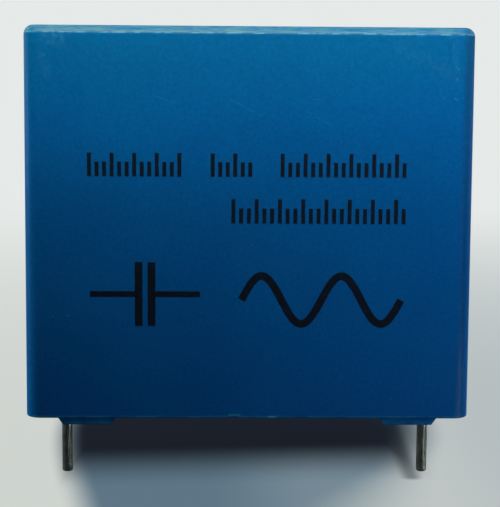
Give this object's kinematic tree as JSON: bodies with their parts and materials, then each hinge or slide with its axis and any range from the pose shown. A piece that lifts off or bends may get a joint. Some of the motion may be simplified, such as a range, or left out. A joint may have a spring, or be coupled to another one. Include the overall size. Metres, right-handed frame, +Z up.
{
  "type": "box film capacitor",
  "caption": "Box film capacitor: rounded moulded case on small trapezoid feet, filled with resin, with straight round wire leads for a circuit board.",
  "frame": {"origin": "midway between the two leads, in the plane of the feet's soles, which is the face of the board", "axes": "+Z up from the board towards the closed end, leads point down -Z and stand apart along X, front face looks along -Y"},
  "size_m": [0.0314, 0.018, 0.0339],
  "materials": {
    "case_plastic": "satin moulded plastic, lightly scuffed along its edges",
    "resin": "cast epoxy, soft gloss",
    "film": "wound metallised film",
    "sprayed_metal": "rough sprayed zinc",
    "tinned_wire": "dull tinned wire",
    "ink": "thin printed ink"
  },
  "bodies": {
    "root": {"case": "case_plastic", "potting_resin": "resin", "film_roll": "film", "end_contact_left": "sprayed_metal", "end_contact_right": "sprayed_metal", "lead_left": "tinned_wire", "lead_right": "tinned_wire"}
  },
  "joints": []
}
